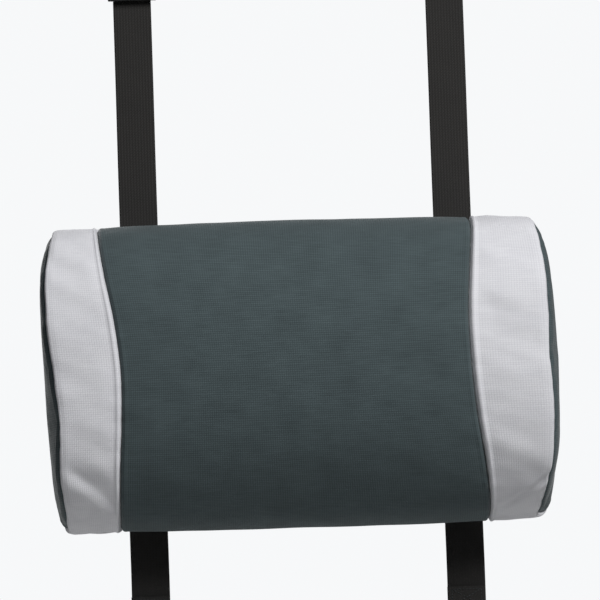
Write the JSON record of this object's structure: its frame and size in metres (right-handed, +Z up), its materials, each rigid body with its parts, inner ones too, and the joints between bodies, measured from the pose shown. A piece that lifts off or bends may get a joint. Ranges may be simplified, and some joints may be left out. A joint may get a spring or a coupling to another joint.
{
  "type": "lumbar support cushion",
  "caption": "D-section lumbar cushion with a zipped woven cover that slides on two vertical webbing straps ending in side-release buckles.",
  "frame": {"origin": "middle of the cushion's width and height, in the plane of the backrest's face that the keepers lie on", "axes": "+X right as seen from the front, +Y into the backrest, +Z up along the straps"},
  "size_m": [0.336, 0.0983, 0.5486],
  "materials": {
    "slate_fabric": "matte",
    "light_grey_fabric": "matte",
    "liner": "matte",
    "foam": "matte",
    "webbing": "matte",
    "elastic": "matte",
    "buckle_plastic": "satin",
    "zip_tape": "matte",
    "zip_coil": "satin",
    "zip_metal": "satin"
  },
  "bodies": {
    "straps": {"strap_left": "elastic", "strap_right": "elastic", "tri_glide_left": "buckle_plastic", "tri_glide_right": "buckle_plastic"},
    "cushion": {"cover_centre_panel": "slate_fabric", "cover_end_left": "slate_fabric", "cover_end_right": "slate_fabric", "cover_back_upper": "slate_fabric", "cover_back_lower": "slate_fabric", "cover_band_left": "light_grey_fabric", "cover_band_right": "light_grey_fabric", "inner_liner": "liner", "foam_core": "foam", "zip_tape_upper": "zip_tape", "zip_tape_lower": "zip_tape", "zip_coil_upper": "zip_coil", "zip_coil_lower": "zip_coil", "zip_stop_left": "zip_metal", "zip_stop_right": "zip_metal", "keeper_upper_left": "webbing", "keeper_upper_right": "webbing", "keeper_lower_left": "webbing", "keeper_lower_right": "webbing"},
    "zip_slider": {"zip_slider": "zip_metal"},
    "zip_pull": {"zip_pull": "zip_metal"},
    "plug_left": {"buckle_male_left": "buckle_plastic"},
    "socket_left": {"buckle_female_left": "buckle_plastic"},
    "arm_left_left": {"buckle_arm_left_left": "buckle_plastic"},
    "arm_left_right": {"buckle_arm_left_right": "buckle_plastic"},
    "plug_right": {"buckle_male_right": "buckle_plastic"},
    "socket_right": {"buckle_female_right": "buckle_plastic"},
    "arm_right_left": {"buckle_arm_right_left": "buckle_plastic"},
    "arm_right_right": {"buckle_arm_right_right": "buckle_plastic"}
  },
  "joints": [
    {"name": "cushion_height", "type": "slide", "parent": "straps", "child": "cushion", "axis": [0, 0, 1], "range_m": [-0.04, 0.15]},
    {"name": "zip_travel", "type": "slide", "parent": "cushion", "child": "zip_slider", "axis": [1, 0, 0], "range_m": [-0.15, 0]},
    {"name": "zip_pull_flip", "type": "hinge", "parent": "zip_slider", "child": "zip_pull", "pos_m": [0.075, -0.002, 0], "axis": [0, 0, -1], "range_deg": [0, 150]},
    {"name": "plug_swing_left", "type": "hinge", "parent": "straps", "child": "plug_left", "pos_m": [-0.1075, -0.005, 0.3024], "axis": [1, 0, 0], "range_deg": [-90, 90]},
    {"name": "socket_swing_left", "type": "hinge", "parent": "straps", "child": "socket_left", "pos_m": [-0.1075, -0.005, -0.1708], "axis": [1, 0, 0], "range_deg": [-90, 90]},
    {"name": "arm_press_left_left", "type": "hinge", "parent": "plug_left", "child": "arm_left_left", "pos_m": [-0.1204, -0.005, 0.3174], "axis": [0, 1, 0], "range_deg": [0, 7], "stiffness_Nm_per_rad": 0.5},
    {"name": "arm_press_left_right", "type": "hinge", "parent": "plug_left", "child": "arm_left_right", "pos_m": [-0.0946, -0.005, 0.3174], "axis": [0, 1, 0], "range_deg": [-7, 0], "stiffness_Nm_per_rad": 0.5},
    {"name": "plug_swing_right", "type": "hinge", "parent": "straps", "child": "plug_right", "pos_m": [0.1075, -0.005, 0.3024], "axis": [1, 0, 0], "range_deg": [-90, 90]},
    {"name": "socket_swing_right", "type": "hinge", "parent": "straps", "child": "socket_right", "pos_m": [0.1075, -0.005, -0.1708], "axis": [1, 0, 0], "range_deg": [-90, 90]},
    {"name": "arm_press_right_left", "type": "hinge", "parent": "plug_right", "child": "arm_right_left", "pos_m": [0.0946, -0.005, 0.3174], "axis": [0, 1, 0], "range_deg": [0, 7], "stiffness_Nm_per_rad": 0.5},
    {"name": "arm_press_right_right", "type": "hinge", "parent": "plug_right", "child": "arm_right_right", "pos_m": [0.1204, -0.005, 0.3174], "axis": [0, 1, 0], "range_deg": [-7, 0], "stiffness_Nm_per_rad": 0.5}
  ],
  "couplings": [
    {"joint": "arm_press_left_right", "follows": "arm_press_left_left", "ratio": -1},
    {"joint": "arm_press_right_right", "follows": "arm_press_right_left", "ratio": -1}
  ]
}
